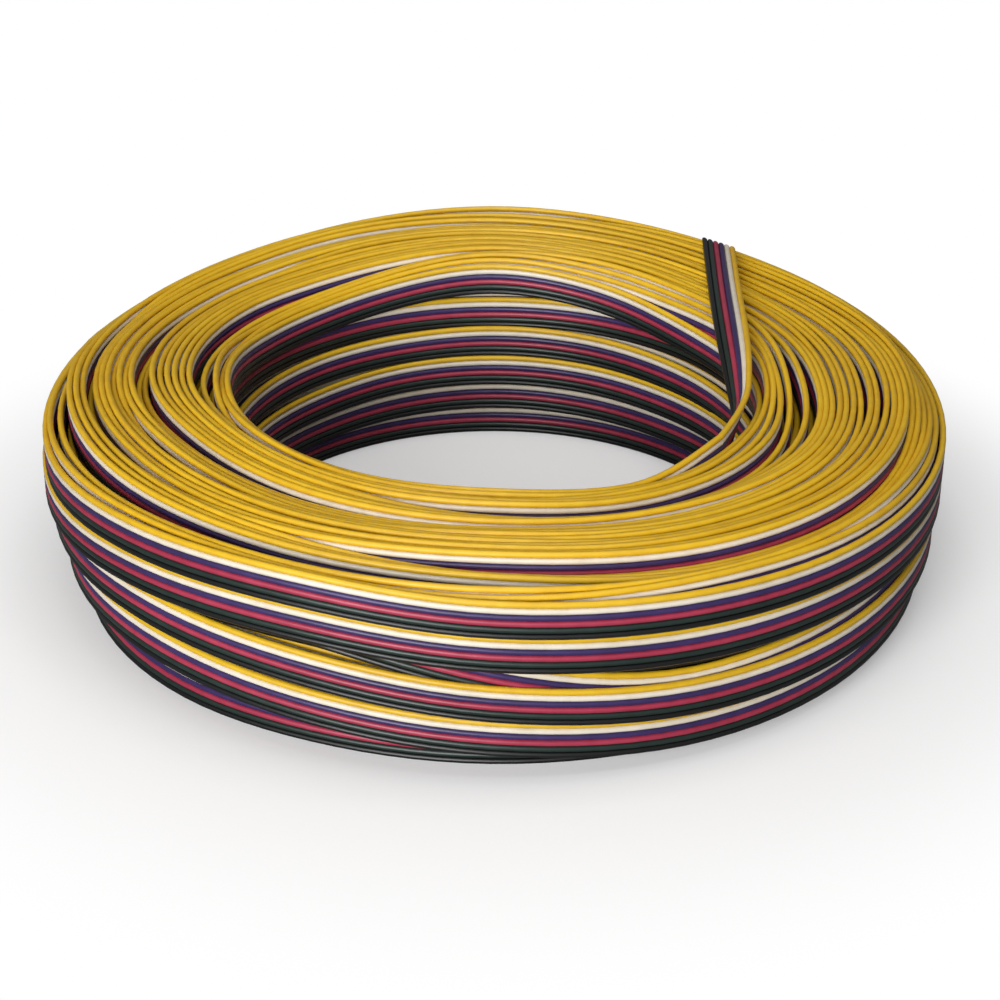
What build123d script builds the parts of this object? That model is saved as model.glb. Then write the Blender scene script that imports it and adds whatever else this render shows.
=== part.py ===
from build123d import *
import math
import os

# A roll of flat six-core cable, lying on its side with its free end laid over the top.
# Millimetres, +Z up, origin on the floor at the roll's axis. The free end points to +Y.

# The cable: round insulated wires bonded side by side into one flat ribbon
wire_colours = ["yellow", "white", "blue", "red", "green", "black"]  # from the ribbon's top edge down
wire_pitch = 1.7            # from one wire's centre to the next
insulation_diameter = 1.6   # each wire's insulation, inside its bonded pitch
conductor_diameter = 0.76   # stranded copper, 22 gauge
conductor_clearance = 0.02  # round a conductor, in its bore
wire_sides = 8              # so thin a wire is drawn with this many flats, its corners on the circle
bared_depth = 8.0           # how deep the conductor's bore is modelled at the cut end

# The roll: the ribbon stands on edge and is wound in layers, one above the other
turns_in_layer = [23, 25, 27, 27, 27, 25]  # from the floor up
turn_pitch = 1.9            # from one turn's face to the next turn's
opening_radius = 76.0       # the open middle, at the ridges of its wall
layer_bulge = 0.6           # how far the middle of a layer stands proud of its edges

# The top of the roll: turns stand proud in pairs, and the whole face sags towards the front
turns_per_ridge = 2
ridge_height = 1.6
front_sag = 5.0             # the front edge lies this much lower than the back edge
cut_margin = 3.0            # how far the tool that shapes the top runs past the roll's walls
cutter_seam = 70.0          # where that tool's surface closes, in degrees, away from the roll's own seam

# The free end of the ribbon: hand-laid points of its centre line and the ribbon's twist there,
# 0 with the yellow edge up and 90 with the ribbon flat and its yellow edge to the right
free_end_route = [
    (60.5, -44.0, 52.2, 0.0),
    (68.6, -25.0, 53.0, 14.0),
    (69.6, -3.0, 56.9, 44.0),
    (69.5, 20.0, 61.2, 74.0),
    (70.4, 54.5, 61.6, 90.0),
    (72.0, 88.5, 61.7, 90.0),
]
cut_slant = 44.0            # degrees between the end cut and a square cut, black wire longest
arc_share = 0.45            # how much of the shorter run each bend of a wire takes up

ribbon_width = len(wire_colours) * wire_pitch
layer_radius = [opening_radius + turns * turn_pitch for turns in turns_in_layer]
roll_radius = max(layer_radius)
roll_height = len(turns_in_layer) * ribbon_width
lean_angle = math.degrees(math.asin(front_sag / (2 * roll_radius)))


def wall_points(radii, bulge):
    """Points up a wall of the roll: each layer's middle stands off its two edges by the bulge."""
    points = []
    for layer, radius in enumerate(radii):
        floor = layer * ribbon_width
        points.append((radius - bulge, floor))
        points.append((radius, floor + ribbon_width / 2))
        points.append((radius - bulge, floor + ribbon_width))
    return [p for i, p in enumerate(points) if i == 0 or p != points[i - 1]]


def wound_body():
    """The layers of turns, turned about the roll's axis, and a little over height for the cut."""
    outer = wall_points(layer_radius, layer_bulge)
    inner = wall_points([opening_radius] * len(turns_in_layer), -layer_bulge)
    outer.append((outer[-1][0], roll_height + cut_margin))
    inner.append((inner[-1][0], roll_height + cut_margin))
    section = make_face(Polyline(*outer, *reversed(inner), close=True))
    return revolve(Plane.XZ * section, Axis.Z)


def top_cutter():
    """What lies above the ridged top face, leaning to the front as the upper turns have settled."""
    ridges = turns_in_layer[-1] // turns_per_ridge
    ridge_pitch = (layer_radius[-1] - opening_radius) / ridges
    inside, outside = opening_radius - cut_margin, roll_radius + cut_margin
    teeth = [(inside, -ridge_height)]
    for ridge in range(ridges):
        crest = opening_radius + (ridge + 0.5) * ridge_pitch
        teeth.append((crest, 0))
        teeth.append((crest + ridge_pitch / 2, -ridge_height))
    teeth[-1] = (outside, -ridge_height)
    above = roll_height / 2
    section = make_face(Polyline(*teeth, (outside, above), (inside, above), close=True))
    level = Rot(Z=cutter_seam) * revolve(Plane.XZ * section, Axis.Z)
    return Pos(0, 0, roll_height - front_sag / 2) * Rot(X=lean_angle) * level


def wire_route(wire):
    """The points of one wire of the free end: beside the ribbon's centre line, turned with its twist."""
    centres = [Vector(x, y, z) for x, y, z, _ in free_end_route]
    offset = ((len(wire_colours) - 1) / 2 - wire) * wire_pitch
    points = []
    for i, (x, y, z, twist) in enumerate(free_end_route):
        heading = centres[min(i + 1, len(centres) - 1)] - centres[max(i - 1, 0)]
        right = Vector(heading.Y, -heading.X, 0).normalized()
        across = Vector(0, 0, 1) * math.cos(math.radians(twist)) + right * math.sin(math.radians(twist))
        points.append(centres[i] + across * offset)
    return points


def bend_radii(points):
    """The largest arc at each corner that its two runs leave room for."""
    radii = []
    for before, corner, after in zip(points, points[1:], points[2:]):
        shorter = min((corner - before).length, (after - corner).length)
        turn = math.radians((corner - before).get_angle(after - corner))
        radii.append(arc_share * shorter / math.tan(turn / 2))
    return radii


def end_cutter():
    """A block beyond the slanting cut across the ribbon's end."""
    x, y, z, _ = free_end_route[-1]
    size = 4 * ribbon_width
    return Pos(x, y, z) * Rot(Z=-cut_slant) * Pos(0, size / 2, 0) * Box(size, size, size)


def end_rod(end, heading, diameter):
    """A round rod down the middle of a wire's last stretch, running out past the cut."""
    start = end - heading * (ribbon_width / 2 + bared_depth)
    length = ribbon_width + bared_depth
    return extrude(Plane(origin=start, z_dir=heading) * RegularPolygon(diameter / 2, wire_sides), length)


def free_wire(wire):
    """One wire of the free end: its insulation, cut off with the others, and its conductor."""
    points = wire_route(wire)
    end = points[-1]
    heading = (end - points[-2]).normalized()
    points[-1] = end + heading * (ribbon_width / 2)
    radii = bend_radii(points)
    path = FilletPolyline(*points, radius=radii)
    section = Plane(origin=path @ 0, z_dir=path % 0) * RegularPolygon(insulation_diameter / 2, wire_sides)
    tube = sweep(section, path=path)
    share = tube.volume / (section.area * path.length)
    print(wire_colours[wire], "radii", [round(r, 1) for r in radii], "volume share", round(share, 4))

    bore = end_rod(end, heading, conductor_diameter + 2 * conductor_clearance)
    insulation = tube - bore - end_cutter()
    conductor = end_rod(end, heading, conductor_diameter) - end_cutter()
    print(wire_colours[wire], "length", round(insulation.volume / section.area, 1))
    return insulation, conductor


def build():
    """Write the roll and the free end's wires, each to its own file."""
    os.makedirs("parts", exist_ok=True)
    export_step(wound_body() - top_cutter(), "parts/wound_cable.step")
    for wire, colour in enumerate(wire_colours):
        insulation, conductor = free_wire(wire)
        export_step(insulation, f"parts/{colour}_wire.step")
        export_step(conductor, f"parts/{colour}_conductor.step")


build()
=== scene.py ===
import math

import bpy
import numpy as np
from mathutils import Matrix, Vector


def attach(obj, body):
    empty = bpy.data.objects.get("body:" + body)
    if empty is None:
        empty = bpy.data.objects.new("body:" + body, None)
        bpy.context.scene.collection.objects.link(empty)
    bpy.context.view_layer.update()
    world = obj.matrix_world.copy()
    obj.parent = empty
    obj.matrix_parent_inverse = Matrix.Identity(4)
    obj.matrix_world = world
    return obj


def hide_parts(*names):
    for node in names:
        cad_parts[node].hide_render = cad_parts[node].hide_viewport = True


# A roll of flat six-core cable lying on its side, with its free end laid over the top.
# Every wire is a swept tube that follows the winding, so the roll is made as the real one is.
# Sizes here are in millimetres and go to Blender's metres through MM.

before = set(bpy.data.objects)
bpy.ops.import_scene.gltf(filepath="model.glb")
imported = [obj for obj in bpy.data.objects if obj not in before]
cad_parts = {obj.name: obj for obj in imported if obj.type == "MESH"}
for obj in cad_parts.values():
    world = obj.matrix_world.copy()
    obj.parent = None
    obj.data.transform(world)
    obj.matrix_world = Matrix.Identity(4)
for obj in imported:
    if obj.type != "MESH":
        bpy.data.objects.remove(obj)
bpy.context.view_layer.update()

MM = 0.001
COLOURS = ["yellow", "white", "blue", "red", "green", "black"]  # from the ribbon's top edge down
WIRE = 1.7                 # one insulated wire, and the pitch from wire to wire
RIBBON = len(COLOURS) * WIRE
COPPER = 0.76              # the stranded conductor
BARED = 6.0                # how far the conductor is drawn back inside a cut end
SEED = 11                  # of the winding's small random waves


def wire_offset(wire):
    """How far a wire lies above the middle of the standing ribbon."""
    return ((len(COLOURS) - 1) / 2 - wire) * WIRE


# ---------------------------------------------------------------- camera

CAMERA_TARGET = Vector((0, 0, 30.6))
CAMERA_DISTANCE = 638      # from the target
CAMERA_ELEVATION = 25.92   # degrees
CAMERA_LENS = 79.02
CAMERA_SHIFT = (0.006, -0.0479)
CAMERA_CLIP = (0.01, 20)   # metres


def place_camera():
    """The studio camera: a long lens from the front, looking down about 26 degrees."""
    camera = bpy.data.objects.new("studio_camera", bpy.data.cameras.new("studio_camera"))
    bpy.context.scene.collection.objects.link(camera)
    elevation = math.radians(CAMERA_ELEVATION)
    backwards = Vector((0, -math.cos(elevation), math.sin(elevation)))
    camera.location = (CAMERA_TARGET + CAMERA_DISTANCE * backwards) * MM
    camera.rotation_euler = (-backwards).to_track_quat("-Z", "Y").to_euler()
    camera.data.lens = CAMERA_LENS
    camera.data.shift_x, camera.data.shift_y = CAMERA_SHIFT
    camera.data.clip_start, camera.data.clip_end = CAMERA_CLIP
    bpy.context.scene.camera = camera


place_camera()


# ---------------------------------------------------------------- node helpers

def linear(hex_colour):
    """An sRGB hex colour as the linear colour that a socket takes."""
    channels = [int(hex_colour[i:i + 2], 16) / 255 for i in (1, 3, 5)]
    return [c / 12.92 if c <= 0.04045 else ((c + 0.055) / 1.055) ** 2.4 for c in channels] + [1]


def add_node(tree, kind, settings=None, **inputs):
    """A node with its settings, and its inputs as values or as sockets to link from.

    An input is named by its label with underscores, or by its place as i0, i1 and so on."""
    node = tree.nodes.new(kind)
    for name, value in (settings or {}).items():
        setattr(node, name, value)
    for name, value in inputs.items():
        by_place = name[0] == "i" and name[1:].isdigit()
        socket = node.inputs[int(name[1:])] if by_place else node.inputs[name.replace("_", " ")]
        if isinstance(value, bpy.types.NodeSocket):
            tree.links.new(value, socket)
        else:
            socket.default_value = value
    return node


# ---------------------------------------------------------------- materials

# Patterns on the insulation, as noise cells across the wire's section, again, and a metre along it
DIE_LINES = (3.0, 3.0, 6.0)       # about 0.3 mm wide and 170 mm long
TONE_DRIFT = (0.2, 0.2, 11.0)     # even round the wire, and about 90 mm long
CLOUDS = 240.0                    # cells a metre in space, so about 4 mm across
DRIFT_SHARE, CLOUD_SHARE = 0.65, 0.35
DIE_LINE_DEPTH = 0.04             # drawn deeper than the few micrometres of real ones, to show
DARKEST_AT, LIGHTEST_AT = 0.32, 0.68  # where the mixed patterns reach a colour's two outer tones
SHINIER, DULLER = 0.07, 0.09      # how far a die line's roughness lies from the insulation's own
PVC_IOR = 1.53
# Worn patches of the tinned strands, in cells a metre, so about 0.4 mm across
WORN_PATCHES = 2600.0


def pvc(name, base, shade, light, roughness):
    """Extruded PVC insulation in one colour.

    The eye gets a soft satin sheen drawn out along the wire, faint lengthwise die lines, and a tone
    that drifts a little from turn to turn as the pigment does from one length to the next."""
    material = bpy.data.materials.new(name)
    material.use_nodes = True
    tree = material.node_tree
    tree.nodes.clear()
    place = add_node(tree, "ShaderNodeAttribute", {"attribute_name": "wire_place"})
    # wire_place is (cos, sin, metres along): round the wire in x and y, along it in z
    die_scale = add_node(tree, "ShaderNodeVectorMath", {"operation": "MULTIPLY"},
                         i0=place.outputs["Vector"], i1=DIE_LINES)
    die_lines = add_node(tree, "ShaderNodeTexNoise", Vector=die_scale.outputs[0], Scale=1.0, Detail=3.0)
    drift_scale = add_node(tree, "ShaderNodeVectorMath", {"operation": "MULTIPLY"},
                           i0=place.outputs["Vector"], i1=TONE_DRIFT)
    drift = add_node(tree, "ShaderNodeTexNoise", Vector=drift_scale.outputs[0], Scale=1.0, Detail=4.0)
    # Pigment clouding a few millimetres across, in real space
    spot = add_node(tree, "ShaderNodeTexCoord")
    cloud = add_node(tree, "ShaderNodeTexNoise", Vector=spot.outputs["Object"], Scale=CLOUDS, Detail=3.0)
    drifting = add_node(tree, "ShaderNodeMath", {"operation": "MULTIPLY"},
                        i0=drift.outputs["Fac"], i1=DRIFT_SHARE)
    both = add_node(tree, "ShaderNodeMath", {"operation": "MULTIPLY_ADD"},
                    i0=cloud.outputs["Fac"], i1=CLOUD_SHARE, i2=drifting.outputs[0])
    ramp = add_node(tree, "ShaderNodeValToRGB", Fac=both.outputs[0])
    stops = ramp.color_ramp.elements
    stops[0].position, stops[0].color = DARKEST_AT, linear(shade)
    stops[1].position, stops[1].color = LIGHTEST_AT, linear(light)
    middle = stops.new(0.5)
    middle.color = linear(base)
    sheen = add_node(tree, "ShaderNodeMapRange", Value=die_lines.outputs["Fac"],
                     From_Min=0.3, From_Max=0.7, To_Min=roughness - SHINIER, To_Max=roughness + DULLER)
    bump = add_node(tree, "ShaderNodeBump", Strength=0.25, Distance=DIE_LINE_DEPTH * MM,
                    Height=die_lines.outputs["Fac"])
    surface = add_node(tree, "ShaderNodeBsdfPrincipled", Base_Color=ramp.outputs["Color"],
                       Roughness=sheen.outputs[0], IOR=PVC_IOR, Normal=bump.outputs["Normal"])
    add_node(tree, "ShaderNodeOutputMaterial", Surface=surface.outputs[0])
    return material


PVC = {
    "yellow": pvc("extruded PVC, yellow", "#DBAE16", "#CC9E10", "#E4BB22", 0.46),
    "white": pvc("extruded PVC, white", "#DED5C3", "#D0C5AF", "#E8E0D0", 0.42),
    "blue": pvc("extruded PVC, blue violet", "#352758", "#2B1F4A", "#3F3066", 0.38),
    "red": pvc("extruded PVC, red", "#A23049", "#90253C", "#B23D55", 0.40),
    "green": pvc("extruded PVC, dark green", "#1C2B26", "#16231F", "#24352F", 0.38),
    "black": pvc("extruded PVC, black", "#0E0E0F", "#09090A", "#151516", 0.38),
}


def tinned_copper():
    """Tinned copper strand: a pale silvery metal, drawn fine, with the warmth of copper in places."""
    material = bpy.data.materials.new("tinned copper strand")
    material.use_nodes = True
    tree = material.node_tree
    tree.nodes.clear()
    spot = add_node(tree, "ShaderNodeTexCoord")
    worn = add_node(tree, "ShaderNodeTexNoise", Vector=spot.outputs["Object"],
                    Scale=WORN_PATCHES, Detail=3.0)
    ramp = add_node(tree, "ShaderNodeValToRGB", Fac=worn.outputs["Fac"])
    stops = ramp.color_ramp.elements
    stops[0].position, stops[0].color = 0.38, linear("#C98F6B")
    stops[1].position, stops[1].color = 0.55, linear("#CFC8BF")
    rough = add_node(tree, "ShaderNodeMapRange", Value=worn.outputs["Fac"], To_Min=0.22, To_Max=0.42)
    surface = add_node(tree, "ShaderNodeBsdfPrincipled", Base_Color=ramp.outputs["Color"],
                       Metallic=1.0, Roughness=rough.outputs[0])
    add_node(tree, "ShaderNodeOutputMaterial", Surface=surface.outputs[0])
    return material


COPPER_METAL = tinned_copper()


# ---------------------------------------------------------------- sweeping a wire along its path

def sweep_tree(name):
    """Geometry nodes that turn paths of loose edges into round tubes.

    Each tube carries wire_place, which says where round and along the wire a point is."""
    tree = bpy.data.node_groups.new(name, "GeometryNodeTree")
    tree.is_modifier = True
    face = tree.interface
    face.new_socket("Geometry", in_out="INPUT", socket_type="NodeSocketGeometry")
    face.new_socket("Wire Radius", in_out="INPUT", socket_type="NodeSocketFloat")
    face.new_socket("Wire Sides", in_out="INPUT", socket_type="NodeSocketInt")
    face.new_socket("Finish", in_out="INPUT", socket_type="NodeSocketMaterial")
    face.new_socket("Geometry", in_out="OUTPUT", socket_type="NodeSocketGeometry")
    given = add_node(tree, "NodeGroupInput")
    paths = add_node(tree, "GeometryNodeMeshToCurve", Mesh=given.outputs["Geometry"])
    along = add_node(tree, "GeometryNodeSplineParameter")
    line = add_node(tree, "GeometryNodeCaptureAttribute", Geometry=paths.outputs["Curve"])
    line.capture_items.new("FLOAT", "Along")
    tree.links.new(along.outputs["Length"], line.inputs["Along"])
    ring = add_node(tree, "GeometryNodeCurvePrimitiveCircle",
                    Resolution=given.outputs["Wire Sides"], Radius=given.outputs["Wire Radius"])
    place = add_node(tree, "GeometryNodeInputPosition")
    unit = add_node(tree, "ShaderNodeVectorMath", {"operation": "NORMALIZE"}, i0=place.outputs[0])
    around = add_node(tree, "GeometryNodeCaptureAttribute", Geometry=ring.outputs["Curve"])
    around.capture_items.new("VECTOR", "Around")
    tree.links.new(unit.outputs[0], around.inputs["Around"])
    tube = add_node(tree, "GeometryNodeCurveToMesh", Curve=line.outputs["Geometry"],
                    Profile_Curve=around.outputs["Geometry"], Fill_Caps=True)
    parts = add_node(tree, "ShaderNodeSeparateXYZ", Vector=around.outputs["Around"])
    wire_place = add_node(tree, "ShaderNodeCombineXYZ", X=parts.outputs["X"], Y=parts.outputs["Y"],
                          Z=line.outputs["Along"])
    stored = add_node(tree, "GeometryNodeStoreNamedAttribute",
                      {"data_type": "FLOAT_VECTOR", "domain": "POINT"},
                      Geometry=tube.outputs["Mesh"], Name="wire_place", Value=wire_place.outputs[0])
    smooth = add_node(tree, "GeometryNodeSetShadeSmooth", Geometry=stored.outputs["Geometry"])
    real = add_node(tree, "GeometryNodeRealizeInstances", Geometry=smooth.outputs["Geometry"])
    finished = add_node(tree, "GeometryNodeSetMaterial", Geometry=real.outputs["Geometry"],
                        Material=given.outputs["Finish"])
    result = add_node(tree, "NodeGroupOutput")
    tree.links.new(finished.outputs["Geometry"], result.inputs["Geometry"])
    return tree


SWEEP = sweep_tree("round_wire_along_path")


def socket_id(tree, name):
    """The identifier of a tree's named input."""
    return next(s.identifier for s in tree.interface.items_tree
                if s.in_out == "INPUT" and s.name == name)


def swept_wire(name, paths, radius, sides, material):
    """One plain mesh of round tubes, a tube along each path. Paths are arrays of points in mm."""
    points = np.concatenate(paths) * MM
    edges, start = [], 0
    for path in paths:
        edges += [(i, i + 1) for i in range(start, start + len(path) - 1)]
        start += len(path)
    lines = bpy.data.meshes.new(name + "_paths")
    lines.from_pydata(points.tolist(), edges, [])
    carrier = bpy.data.objects.new(name + "_paths", lines)
    bpy.context.scene.collection.objects.link(carrier)
    modifier = carrier.modifiers.new("sweep", "NODES")
    modifier.node_group = SWEEP
    modifier[socket_id(SWEEP, "Wire Radius")] = radius * MM
    modifier[socket_id(SWEEP, "Wire Sides")] = sides
    modifier[socket_id(SWEEP, "Finish")] = material
    ready = carrier.evaluated_get(bpy.context.evaluated_depsgraph_get())
    mesh = bpy.data.meshes.new_from_object(ready)
    bpy.data.objects.remove(carrier)
    mesh.name = name
    piece = bpy.data.objects.new(name, mesh)
    bpy.context.scene.collection.objects.link(piece)
    return piece


# ---------------------------------------------------------------- the free end

# The free end's centre line and twist, as in the CAD source: 0 has the yellow edge up, 90 lies flat
FREE_END_ROUTE = [
    (60.5, -44.0, 52.2, 0.0),
    (68.6, -25.0, 53.0, 14.0),
    (69.6, -3.0, 56.9, 44.0),
    (69.5, 20.0, 61.2, 74.0),
    (70.4, 54.5, 61.6, 90.0),
    (72.0, 88.5, 61.7, 90.0),
]
CUT_SLANT = 44.0           # degrees off square, black wire longest
FREE_SIDES = 20
LINE_POINTS = 16           # that the smooth line gets from one control point to the next
AT_CUT = 0.02              # a tube's end lies within this of the wire's last point, along the wire
STRANDS = 7                # of a conductor, six laid round one
STRAND_SIDES = 8
STRAND_STEPS = 8           # straight stretches of a strand in a cut end
LAY = 14                   # degrees that the strands turn in a millimetre


def wire_control_points(wire):
    """One wire's control points, beside the ribbon's centre line and turned with its twist."""
    centres = [Vector(point[:3]) for point in FREE_END_ROUTE]
    points = []
    for i, (_, _, _, twist) in enumerate(FREE_END_ROUTE):
        heading = centres[min(i + 1, len(centres) - 1)] - centres[max(i - 1, 0)]
        right = Vector((heading.y, -heading.x, 0)).normalized()
        turned = math.radians(twist)
        across = Vector((0, 0, 1)) * math.cos(turned) + right * math.sin(turned)
        points.append(centres[i] + across * wire_offset(wire))
    heading = (points[-1] - points[-2]).normalized()
    points[-1] += heading * slant_reach(points[-1], heading)
    return points, heading


def cut_facing():
    """Which way the slanting cut faces."""
    slant = math.radians(CUT_SLANT)
    return Vector((math.sin(slant), math.cos(slant), 0))


def slant_reach(point, heading):
    """How far along its heading a point is from the slanting cut."""
    centre = Vector(FREE_END_ROUTE[-1][:3])
    return (centre - point).dot(cut_facing()) / heading.dot(cut_facing())


def smooth_line(points):
    """Points along the quadratic NURBS spline that has these control points, in mm."""
    curve = bpy.data.curves.new("free_end_line", "CURVE")
    curve.dimensions = "3D"
    spline = curve.splines.new("NURBS")
    spline.points.add(len(points) - 1)
    for slot, point in zip(spline.points, points):
        slot.co = (*(point * MM), 1)
    spline.order_u = 3
    spline.use_endpoint_u = True
    spline.resolution_u = LINE_POINTS
    carrier = bpy.data.objects.new("free_end_line", curve)
    bpy.context.scene.collection.objects.link(carrier)
    ready = carrier.evaluated_get(bpy.context.evaluated_depsgraph_get())
    mesh = bpy.data.meshes.new_from_object(ready)
    line = np.array([v.co for v in mesh.vertices]) / MM
    bpy.data.objects.remove(carrier)
    bpy.data.meshes.remove(mesh)
    return line


def cut_on_slant(piece, end):
    """Slides the vertices round a tube's far end along the wire onto the slanting cut."""
    heading = Vector(end["heading"])
    for vertex in piece.data.vertices:
        from_end = vertex.co / MM - end["point"]
        if abs(from_end.dot(heading)) < AT_CUT and from_end.length < WIRE:
            vertex.co += heading * slant_reach(vertex.co / MM, heading) * MM
    piece.data.update()


def strand_paths(end):
    """The strands of a conductor, the others laid round the first, ending at the cut."""
    heading = end["heading"]
    side = heading.cross(Vector((0, 0, 1))).normalized()
    rise = side.cross(heading)
    strand = COPPER / 3  # three strands lie side by side across the conductor
    paths = []
    for number in range(STRANDS):
        path = []
        for step in range(STRAND_STEPS + 1):
            back = BARED * (1 - step / STRAND_STEPS)
            angle = math.radians(360 / (STRANDS - 1) * number + LAY * back)
            radial = (side * math.cos(angle) + rise * math.sin(angle)) * strand * (number > 0)
            path.append(end["point"] + radial - heading * back)
        path[-1] += heading * slant_reach(path[-1], heading)
        paths.append(np.array(path))
    return paths, strand / 2


def free_end_wire(wire, colour):
    """One wire of the free end with the conductor in its cut end."""
    points, heading = wire_control_points(wire)
    line = smooth_line(points)
    end = {"point": points[-1], "heading": heading}
    piece = swept_wire(f"free_end_{colour}", [line], WIRE / 2, FREE_SIDES, PVC[colour])
    cut_on_slant(piece, end)
    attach(piece, "root")
    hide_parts(f"{colour}_wire")
    paths, radius = strand_paths(end)
    strands = swept_wire(f"conductor_{colour}", paths, radius, STRAND_SIDES, COPPER_METAL)
    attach(strands, "root")
    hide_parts(f"{colour}_conductor")


for wire, colour in enumerate(COLOURS):
    free_end_wire(wire, colour)


# ---------------------------------------------------------------- the winding

STEPS = 108                # path points a turn
STEPS_INSIDE = 72          # path points a turn in the layers that hardly show
WOUND_RADIUS = WIRE / 2 + 0.01  # a little over the pitch, so that the wires of the ribbon meet
WOUND_SIDES = 8
START = 324.0              # azimuth where the free end leaves the innermost turn, degrees from +X
FIRST_RADIUS = 74.8        # the innermost turn where it becomes the free end
FIRST_STRETCH = 0.08       # turns from the free end to where the innermost turn lies as it is wound
OUTWARDS = 13              # how fast the ribbon moves outwards in that stretch, in mm a turn
LAST_TURN = 25.54          # the turn at which the outermost top turn steps down into the outer wall
STEP_DOWN = 70             # degrees that a turn of a wall takes to step down to the next row
FACE = 1.8                 # from one turn's face to the next, where they lie close
DEPTH_STEP = 0.5           # what one step of a letter in TOP_TURNS stands for
SWAY, RISE = 0.05, 0.10    # how far a turn strays to the side, and up or down
STRAYS_OVER = 7            # path points between the knots of that straying
TO_EDGE = 0.3              # turns in which the ribbon goes over to the outer wall's top row
PAST_START = 0.2           # turns in which that row's end moves out past its own start
SETTLES = 0.14             # turns in which the next row moves back in under it

# How the top turns stand at each azimuth. The letters go from the opening outwards, one for a turn,
# and give its depth under the proud ones in half millimetres, 0 to 9 then a to z. The numbers are
# radii of some of the turns, counted from 0 at the opening, and the others lie evenly between them.
TOP_TURNS = {
    300: ("44332a75314322121010a9966b",
          {0: 76.4, 4: 84.4, 5: 86.6, 9: 94.2, 19: 115.0, 21: 119.6, 23: 123.0, 25: 126.45}),
    270: ("00100643103210101010a86477",
          {0: 76.0, 4: 83.3, 9: 92.4, 19: 109.3, 22: 115.2, 23: 123.0, 25: 126.45}),
    240: ("10100101005432101010121222",
          {0: 75.4, 4: 82.0, 9: 90.4, 19: 110.4, 22: 115.8, 23: 123.0, 25: 126.45}),
    210: ("20510101006310510216111766",
          {0: 75.4, 4: 82.0, 9: 90.8, 10: 94.0, 19: 110.9, 20: 113.0, 22: 117.4, 23: 122.6, 25: 126.45}),
    180: ("25060100109b0203002c100dcb",
          {0: 75.7, 2: 78.9, 3: 82.7, 4: 86.8, 9: 97.4, 10: 99.5, 12: 103.2, 18: 113.0, 20: 116.4,
           22: 120.0, 25: 126.45}),
    150: ("98870000106812010210047adh",
          {0: 75.9, 3: 81.6, 4: 86.2, 9: 97.0, 10: 99.0, 12: 102.4, 20: 116.0, 22: 119.4, 25: 126.0}),
    120: ("a8770010103101250101027be",
          {0: 76.2, 3: 80.8, 4: 82.6, 15: 108.9, 16: 110.9, 20: 117.3, 24: 125.6}),
    90: ("63120101013101150102503bb",
         {0: 76.2, 15: 108.6, 16: 110.9, 21: 122.4, 22: 123.6, 24: 126.45}),
    60: ("a6302010210201030201009cb",
         {0: 76.2, 21: 118.6, 24: 126.45}),
    30: ("h631020301013101031002cef",
         {0: 75.9, 1: 77.4, 21: 117.4, 24: 126.45}),
    0: ("g300000000000000000038dgh",
        {0: 75.7, 1: 77.3, 3: 79.8, 4: 82.5, 5: 86.5, 6: 90.2, 8: 93.4, 9: 96.0, 10: 97.7, 11: 100.0,
         12: 101.7, 13: 105.0, 14: 106.7, 15: 109.8, 19: 116.7, 20: 118.4, 21: 120.2, 24: 126.45}),
    330: ("8442a52101013013010b996cc",
          {0: 76.2, 3: 84.6, 4: 87.2, 5: 91.8, 6: 95.2, 11: 103.8, 12: 106.0, 15: 111.4, 16: 114.0,
           18: 117.4, 19: 119.2, 21: 122.4, 24: 126.45}),
}
# Round the roll, evenly spaced from azimuth 0: the height of the proud turns
TOP_HEIGHT = [58.9, 59.2, 59.2, 61.3, 62.6, 62.0, 60.0, 59.3,
              58.9, 58.3, 58.1, 57.6, 57.3, 56.5, 56.3, 57.5]
# The rows of the outer wall from the top down, spaced in the same way: the height of the ribbon's
# middle, and its radius
OUTER_ROWS = [
    ([44.5, 46.5, 49.0, 50.8, 51.0, 50.8, 48.5, 46.5, 45.8, 47.2, 50.6, 52.0, 48.6, 46.0, 44.0, 43.5],
     [126.6, 126.4, 126.4, 126.4, 126.4, 126.0, 125.4, 125.4,
      125.8, 127.0, 127.2, 127.2, 127.2, 127.2, 127.2, 127.2]),
    ([34.6, 36.6, 39.0, 40.3, 40.6, 40.2, 38.6, 36.8, 36.2, 37.2, 40.9, 42.3, 38.8, 36.0, 34.4, 33.7],
     [127.0, 126.6, 126.5, 126.5, 126.5, 126.5, 126.5, 127.1,
      127.4, 127.2, 126.8, 126.5, 126.5, 126.5, 126.5, 126.8]),
    ([22.0, 24.2, 26.2, 27.6, 28.2, 28.6, 28.8, 29.0, 29.2, 29.5, 30.7, 29.0, 24.2, 20.2, 19.4, 20.6],
     [125.6]),
    ([11.0, 12.8, 14.6, 15.8, 16.4, 16.6, 16.8, 16.8, 16.8, 17.0, 17.9, 16.2, 12.6, 9.2, 8.8, 10.0],
     [122.6]),
    ([5.1],
     [118.6, 118.6, 118.6, 118.2, 117.8, 117.8, 117.8, 117.8,
      117.8, 117.8, 116.8, 114.6, 115.0, 116.0, 118.6, 118.6]),
]
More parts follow.
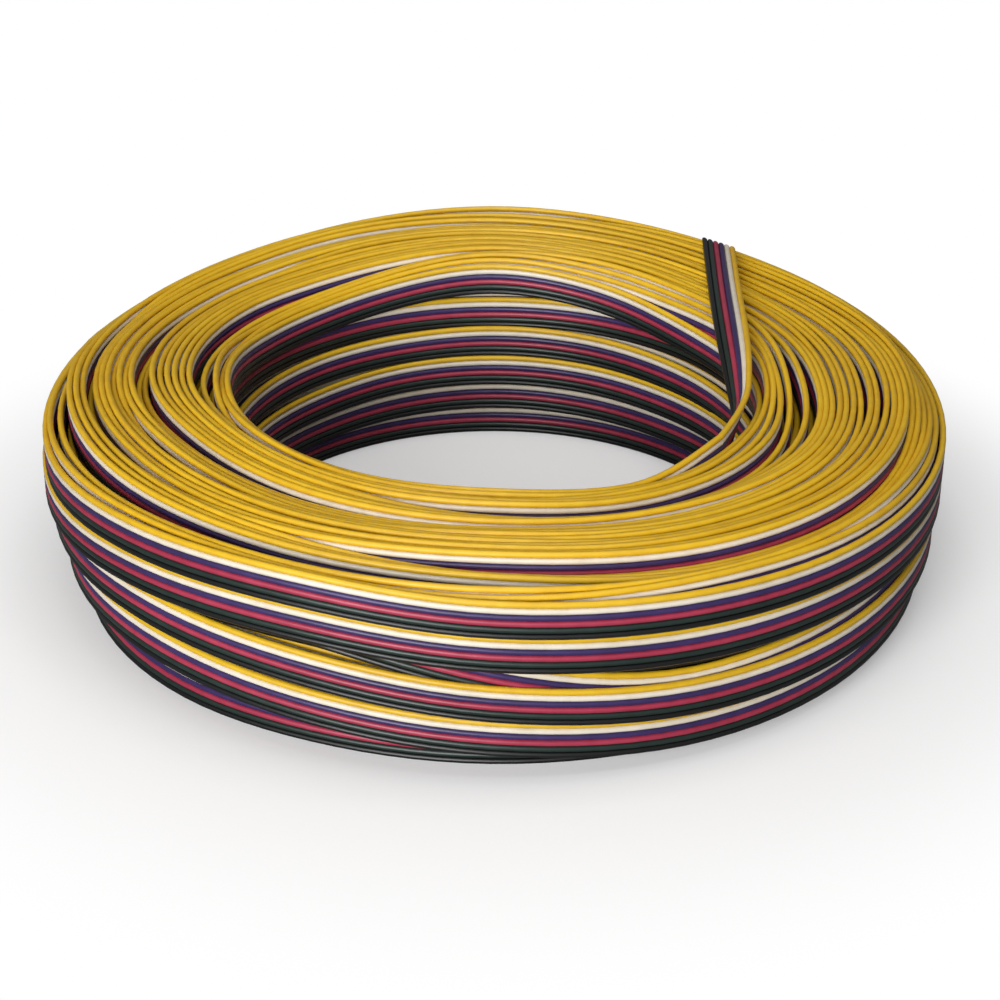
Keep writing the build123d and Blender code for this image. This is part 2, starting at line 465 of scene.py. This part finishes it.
# The rows of the inner wall under the top spiral's own first turn; the first is hidden behind it
INNER_ROWS = [
    ([44.4, 45.2, 45.6, 45.8, 45.8, 45.8, 45.8, 46.6, 47.4, 46.6, 45.8, 45.2, 44.8, 44.4, 44.2, 44.2],
     [79.6]),
    ([41.4, 42.2, 42.6, 42.8, 42.8, 42.8, 42.8, 43.6, 44.4, 43.6, 42.8, 42.2, 41.8, 41.4, 41.2, 41.2],
     [77.8]),
    ([29.6, 30.4, 31.4, 32.8, 33.4, 33.0, 33.0, 32.9, 32.8, 32.6, 32.4, 32.2, 31.4, 30.8, 30.2, 29.8],
     [76.2]),
    ([22.4, 21.8, 21.8, 22.8, 23.3, 22.9, 21.7, 21.6, 21.8, 21.8, 21.8, 21.8, 21.6, 21.6, 21.8, 22.2],
     [75.9]),
    ([13.4, 13.4, 12.9, 13.6, 14.2, 13.6, 12.6, 12.6, 12.8, 13.0, 13.2, 13.2, 13.2, 13.2, 13.2, 13.2],
     [77.5]),
    ([5.1], [79.0]),
]
INNER_START = 300.0        # azimuth where the inner wall's hidden first turn begins
# The turn behind the outer wall's third row that climbs to the second at the front
CLIMBING_ENDS = (500, -62)             # azimuths, as it reaches more than once round
CLIMB_FROM, CLIMB_OVER = 296, 56       # the azimuth where it starts to climb, and degrees that it takes
ABOVE_THIRD = [4, 2, 1, 1, 0.5, 0.5, 1, 3.6]  # its lift over the third row, round the roll
BELOW_SECOND = 0.8
BEHIND_THIRD, CLOSER_UP = 1.75, 0.9    # how much smaller its radius is, and what it regains as it climbs
SINK, SINK_UNTIL, SINK_OVER = 1.5, 400, 60  # its start lies lower, out of sight: mm, azimuth, degrees
# Turns that show only between the rows: the row, how much smaller the turn's radius is, and how much
# higher it lies. Behind the inner wall the radius is larger.
BACKING_TURNS = [
    (OUTER_ROWS[1], 3.5, -3.0),
    (OUTER_ROWS[2], 3.5, 0.0),
    (OUTER_ROWS[3], 1.75, 1.0),
    (OUTER_ROWS[4], 1.75, 0.0),
    (OUTER_ROWS[3], 3.6, 4.0),
    (OUTER_ROWS[4], 3.6, 4.0),
    (INNER_ROWS[2], -3.4, 1.5),
    (INNER_ROWS[3], -3.4, 1.5),
    (INNER_ROWS[4], -3.4, 1.0),
]
# Whole layers: the height of the ribbon's middle round the roll, the radii of the first and the last
# turn, and the number of turns
UNDER_TOP = ([height - 1.5 * RIBBON - 1.0 for height in TOP_HEIGHT], 81, 121, 21)
ON_FLOOR = ([RIBBON / 2], 80.7, 115.0, 19)


def round_the_roll(values, azimuth):
    """Evenly spaced values round the roll read at any azimuth in degrees, along a smooth curve."""
    values = np.array(values, float)
    place = np.asarray(azimuth) % 360 / 360 * len(values)
    return smooth_between(values, place, closed=True)


def smooth_between(values, place, closed=False):
    """Values at fractional places in a list, on a curve that passes smoothly through them."""
    count = len(values)
    first = np.floor(place).astype(int)
    t = place - first
    index = [first + i for i in (-1, 0, 1, 2)]
    index = [i % count if closed else np.clip(i, 0, count - 1) for i in index]
    before, here, after, beyond = (values[i] for i in index)
    bend = 2 * before - 5 * here + 4 * after - beyond
    return here + t / 2 * ((after - before) + t * (bend + t * (3 * (here - after) + beyond - before)))


def eased(share):
    """Nought to one, starting and ending gently."""
    share = np.clip(share, 0, 1)
    return share * share * (3 - 2 * share)


def turn_stations():
    """Depths and radii of the top turns in the order that the ribbon meets the stations."""
    order = sorted(TOP_TURNS, key=lambda azimuth: (START - azimuth) % 360)
    depth, radius = [], []
    for turn in range(math.ceil(LAST_TURN)):
        for azimuth in order:
            letters, known = TOP_TURNS[azimuth]
            depth.append(int(letters[min(turn, len(letters) - 1)], 36) * DEPTH_STEP)
            radius.append(np.interp(turn, list(known), list(known.values())))
    first = ((START - order[0]) % 360) / 360
    return np.array(depth), np.array(radius), first, len(order)


def wobble(count, amount, rng):
    """A small smooth random wave, as no turn lies quite true."""
    knots = rng.normal(0, amount, count // STRAYS_OVER + 3)
    return smooth_between(knots, np.arange(count) / STRAYS_OVER)


def top_spiral():
    """The top turns, from the free end out: azimuth in degrees, radius and height of the ribbon."""
    rng = np.random.default_rng(SEED)
    depth, wound, first, stations = turn_stations()
    s = np.arange(int(LAST_TURN * STEPS) + 1) / STEPS
    azimuth = START - 360 * s
    place = (s - first) * stations
    radius = smooth_between(wound, place) + wobble(len(s), SWAY, rng)
    height = round_the_roll(TOP_HEIGHT, azimuth) - RIBBON / 2 - smooth_between(depth, place)
    height += wobble(len(s), RISE, rng)
    # The last turn is the outer wall's top row. It ends outside its own start, and steps down past it
    edge_heights, edge_radii = OUTER_ROWS[0]
    to_go = LAST_TURN - s
    edge = eased((1 + TO_EDGE - to_go) / TO_EDGE)
    outside = FACE * eased((PAST_START - to_go) / PAST_START)
    radius += (round_the_roll(edge_radii, azimuth) + outside - radius) * edge
    height += (round_the_roll(edge_heights, azimuth) - height) * edge
    started = eased(s / FIRST_STRETCH)
    radius = (FIRST_RADIUS + OUTWARDS * s) * (1 - started) + radius * started
    height = FREE_END_ROUTE[0][2] * (1 - started) + height * started
    return azimuth, radius, height


def stepped_rows(rows, first_azimuth, inward_late):
    """Turns of a wall, row under row, each stepping down to the next one over the same stretch.

    They change radius inward_late degrees after they start to go down."""
    s = np.arange(len(rows) * STEPS + 1) / STEPS
    azimuth = first_azimuth - 360 * s
    points = np.arange(len(s))
    placed = []
    for part, late in ((1, inward_late / 360), (0, 0)):
        turn = np.clip((s - late).astype(int), 0, len(rows) - 1)
        below = np.minimum(turn + 1, len(rows) - 1)
        gone = eased((s - late - turn - 1 + STEP_DOWN / 360) / (STEP_DOWN / 360))
        values = np.array([round_the_roll(row[part], azimuth) for row in rows])
        placed.append(values[turn, points] * (1 - gone) + values[below, points] * gone)
    radius, height = placed
    return azimuth, radius, height


def joined(first, second):
    """Two lengths of ribbon as one, the second carrying on where the first stops."""
    return tuple(np.concatenate([a, b[1:]]) for a, b in zip(first, second))


def step_between(first, second):
    """The ribbon between the end of one length and the start of another, in the same direction."""
    span = (first[0][-1] - second[0][0]) % 360
    steps = int(span / 360 * STEPS) + 1
    share = np.arange(steps + 1) / steps
    azimuth = first[0][-1] - span * share
    ease = eased(share)
    return azimuth, *(a[-1] * (1 - ease) + b[0] * ease for a, b in zip(first[1:], second[1:]))


def outer_winding():
    """The ribbon from the free end over the top, and down the outer wall to the floor."""
    top = top_spiral()
    stepped_down = START - 360 * LAST_TURN - STEP_DOWN
    azimuth, radius, height = stepped_rows(OUTER_ROWS[1:], stepped_down, STEP_DOWN)
    # The wall starts outside the top row, and moves in once it is under it
    settled = eased(np.arange(len(azimuth)) / STEPS / SETTLES)
    wall = (azimuth, radius + FACE * (1 - settled), height)
    return joined(joined(top, step_between(top, wall)), wall)


def climbing_turn():
    """The second turn of the outer wall: it climbs from the third row to the second at the front."""
    azimuth = np.arange(*CLIMBING_ENDS, -360 / STEPS)
    (second_heights, _), (third_heights, third_radii) = OUTER_ROWS[1:3]
    low = round_the_roll(third_heights, azimuth) + round_the_roll(ABOVE_THIRD, azimuth)
    low -= SINK * eased((azimuth - SINK_UNTIL) / SINK_OVER)
    high = round_the_roll(second_heights, azimuth) - BELOW_SECOND
    risen = eased((CLIMB_FROM - azimuth) / CLIMB_OVER)
    radius = third_radii[0] - BEHIND_THIRD + CLOSER_UP * risen
    return azimuth, radius, low * (1 - risen) + high * risen


def backing_turn(row, inset, lift):
    """One more turn behind a row of a wall, closed at the back of the roll."""
    s = np.arange(STEPS + 4) / STEPS
    azimuth = 90 - 360 * s
    heights, radii = row
    return azimuth, round_the_roll(radii, azimuth) - inset, round_the_roll(heights, azimuth) + lift


def coiled_layer(height, inner, outer, turns):
    """A whole layer inside the roll as an even spiral, with fewer points as little of it shows."""
    s = np.arange(turns * STEPS_INSIDE + 1) / STEPS_INSIDE
    azimuth = START - 360 * s
    return azimuth, inner + (outer - inner) * s / turns, round_the_roll(height, azimuth)


def ribbon_wires(path):
    """Each wire's points from the path of the ribbon's middle."""
    azimuth, radius, height = path
    turned = np.radians(azimuth)
    x, y = radius * np.cos(turned), radius * np.sin(turned)
    return [np.stack([x, y, height + wire_offset(wire)], axis=1) for wire in range(len(COLOURS))]


def wind_roll():
    """All the wires of the roll, one piece for each colour."""
    lengths = [outer_winding(), stepped_rows(INNER_ROWS, INNER_START, 0), climbing_turn()]
    lengths += [backing_turn(*backing) for backing in BACKING_TURNS]
    lengths += [coiled_layer(*UNDER_TOP), coiled_layer(*ON_FLOOR)]
    paths_of_wires = zip(*(ribbon_wires(length) for length in lengths))
    for colour, paths in zip(COLOURS, paths_of_wires):
        piece = swept_wire(f"wound_{colour}", paths, WOUND_RADIUS, WOUND_SIDES, PVC[colour])
        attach(piece, "root")
        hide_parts("wound_cable")


wind_roll()


# ---------------------------------------------------------------- floor, lamps and world

FLOOR_SIDE = 12.0                    # metres, as are the other sizes of the studio
SHADOW_REACH = (0.13, 0.21)          # where round the roll the table's shadow starts and ends to fade
TABLE_GLOW = 0.25                    # how much of the shadow is lightened even close to the roll
LAMP_TARGET = Vector((0, 0, 0.03))   # the middle of the roll
# Each softbox's place, side and watts
SOFTBOXES = {
    "overhead_softbox": ((0.05, -0.25, 1.2), 0.7, 4.8),
    "front_softbox": ((-0.45, -1.25, 0.4), 0.8, 21),
}
ROOM_LIGHT = 0.20                    # strength of the room's even white light


def plain_floor():
    """A white table that keeps a soft shadow and shows as plain white round the object."""
    mesh = bpy.data.meshes.new("studio_floor")
    edge = FLOOR_SIDE / 2
    mesh.from_pydata([(-edge, -edge, 0), (edge, -edge, 0), (edge, edge, 0), (-edge, edge, 0)],
                     [], [(0, 1, 2, 3)])
    material = bpy.data.materials.new("white table")
    material.use_nodes = True
    tree = material.node_tree
    tree.nodes.clear()
    path = add_node(tree, "ShaderNodeLightPath")
    # The camera sees a white table, and the roll is lit by a grey one, which keeps its underside dark
    tone = add_node(tree, "ShaderNodeMixRGB", Fac=path.outputs["Is Camera Ray"],
                    Color1=linear("#8C8C8C"), Color2=linear("#FFFFFF"))
    lit = add_node(tree, "ShaderNodeBsdfDiffuse", Color=tone.outputs[0])
    # Away from the roll the table shows plain white, as the room behind it does
    spot = add_node(tree, "ShaderNodeTexCoord")
    away = add_node(tree, "ShaderNodeVectorMath", {"operation": "LENGTH"}, i0=spot.outputs["Object"])
    fade = add_node(tree, "ShaderNodeMapRange", {"interpolation_type": "SMOOTHSTEP"},
                    Value=away.outputs["Value"], From_Min=SHADOW_REACH[0], From_Max=SHADOW_REACH[1],
                    To_Min=TABLE_GLOW, To_Max=1.0)
    seen = add_node(tree, "ShaderNodeMath", {"operation": "MULTIPLY"},
                    i0=fade.outputs[0], i1=path.outputs["Is Camera Ray"])
    white = add_node(tree, "ShaderNodeEmission", Color=(1, 1, 1, 1), Strength=1.0)
    surface = add_node(tree, "ShaderNodeMixShader", Fac=seen.outputs[0],
                       i1=lit.outputs[0], i2=white.outputs[0])
    add_node(tree, "ShaderNodeOutputMaterial", Surface=surface.outputs[0])
    mesh.materials.append(material)
    table = bpy.data.objects.new("studio_floor", mesh)
    bpy.context.scene.collection.objects.link(table)


def soft_lamp(name, place, size, energy):
    """A square softbox aimed at the middle of the roll."""
    lamp = bpy.data.lights.new(name, "AREA")
    lamp.shape = "SQUARE"
    lamp.size = size
    lamp.energy = energy
    holder = bpy.data.objects.new(name, lamp)
    holder.location = place
    holder.rotation_euler = (LAMP_TARGET - Vector(place)).to_track_quat("-Z", "Y").to_euler()
    bpy.context.scene.collection.objects.link(holder)


def light_studio():
    """A softbox overhead, a stronger one from the camera's side, and an even white room."""
    for name, (place, size, energy) in SOFTBOXES.items():
        soft_lamp(name, place, size, energy)
    world = bpy.data.worlds.new("white_room")
    bpy.context.scene.world = world
    world.use_nodes = True
    tree = world.node_tree
    tree.nodes.clear()
    path = add_node(tree, "ShaderNodeLightPath")
    # The camera sees the room as plain white
    seen = add_node(tree, "ShaderNodeMapRange", Value=path.outputs["Is Camera Ray"],
                    To_Min=ROOM_LIGHT, To_Max=1.0)
    room = add_node(tree, "ShaderNodeBackground", Color=(1, 1, 1, 1), Strength=seen.outputs[0])
    add_node(tree, "ShaderNodeOutputWorld", Surface=room.outputs[0])


plain_floor()
light_studio()
bpy.context.scene.view_settings.view_transform = "Standard"
